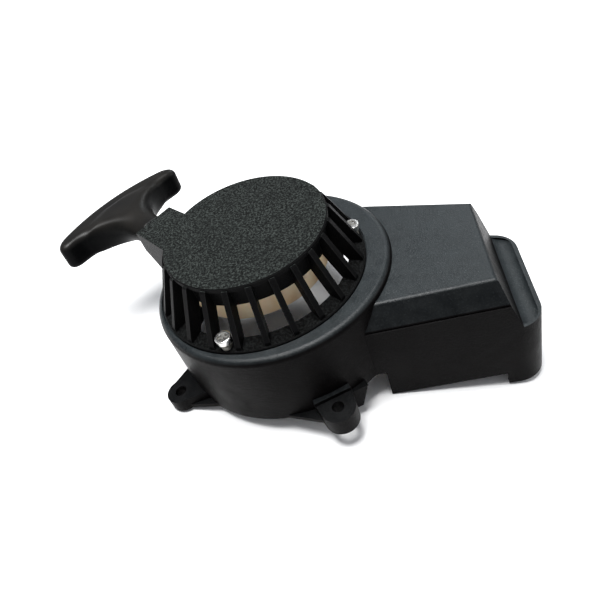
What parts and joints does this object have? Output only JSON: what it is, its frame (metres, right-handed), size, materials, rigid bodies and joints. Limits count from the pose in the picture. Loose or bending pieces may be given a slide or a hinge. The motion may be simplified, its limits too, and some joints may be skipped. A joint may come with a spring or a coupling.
{
  "type": "recoil starter",
  "caption": "Pull starter with a finned cage, rope pulley, recoil spring, pawls and T handle on a moulded engine shroud with a side air duct.",
  "frame": {"origin": "crank axis at the foot of the shroud's barrel", "axes": "+Z along the crank axis, out of the engine, towards the cage's disc; +X towards the air duct"},
  "size_m": [0.2551, 0.1684, 0.1084],
  "materials": {
    "shroud_plastic": "moulded glass-filled nylon, fine satin grain",
    "cage_plastic": "moulded nylon, coarse spark texture on its top",
    "screw_steel": "zinc plated",
    "sleeve_steel": "zinc plated, dull",
    "insert_brass": "turned",
    "bush_bronze": "sintered bronze",
    "guide_plastic": "smooth acetal",
    "rope": "braided nylon rope",
    "pulley_nylon": "natural cream nylon",
    "plate_steel": "stamped steel",
    "pawl_steel": "sintered steel",
    "spring_steel": "blued spring steel",
    "handle_plastic": "smooth satin moulded plastic"
  },
  "bodies": {
    "housing": {"engine_shroud": "shroud_plastic", "starter_cage": "cage_plastic", "cage_screws": "screw_steel", "screw_sleeves": "sleeve_steel", "threaded_inserts": "insert_brass", "centre_screw": "screw_steel", "centre_washer": "plate_steel", "centre_bush": "bush_bronze", "rope_guide": "guide_plastic", "rope_lead": "rope"},
    "pulley": {"rope_pulley": "pulley_nylon", "rope_coil": "rope", "pulley_knot": "rope", "pawl_pins": "screw_steel", "pawl_clips": "spring_steel", "recoil_spring": "spring_steel", "friction_spring": "spring_steel"},
    "friction_plate": {"friction_plate": "plate_steel"},
    "pawl_a": {"pawl_a": "pawl_steel"},
    "pawl_b": {"pawl_b": "pawl_steel"},
    "handle": {"pull_handle": "handle_plastic", "handle_cap": "handle_plastic", "handle_washer": "screw_steel", "handle_knot": "rope", "rope_tail": "rope"}
  },
  "joints": [
    {"name": "pulley_spin", "type": "hinge", "parent": "housing", "child": "pulley", "pos_m": [0, 0, 0.064], "axis": [0, 0, -1], "range_deg": [0, 1150], "stiffness_Nm_per_rad": 0.0247, "springref_deg": -727.66},
    {"name": "handle_pull", "type": "slide", "parent": "housing", "child": "handle", "axis": [-0.7071, 0.7071, 0], "range_m": [0, 0.6]},
    {"name": "friction_plate_lag", "type": "hinge", "parent": "pulley", "child": "friction_plate", "pos_m": [0, 0, 0.0523], "axis": [0, 0, 1], "range_deg": [0, 25], "stiffness_Nm_per_rad": 0.02, "springref_deg": -11.46},
    {"name": "pawl_a_swing", "type": "hinge", "parent": "pulley", "child": "pawl_a", "pos_m": [0.0175, 0, 0.058], "axis": [0, 0, 1], "range_deg": [0, 35]},
    {"name": "pawl_b_swing", "type": "hinge", "parent": "pulley", "child": "pawl_b", "pos_m": [-0.0175, 0, 0.058], "axis": [0, 0, 1], "range_deg": [0, 35]}
  ],
  "couplings": [
    {"joint": "handle_pull", "follows": "pulley_spin", "m_per_rad": 0.0297},
    {"joint": "pawl_a_swing", "follows": "friction_plate_lag", "ratio": 1.4},
    {"joint": "pawl_b_swing", "follows": "friction_plate_lag", "ratio": 1.4}
  ]
}
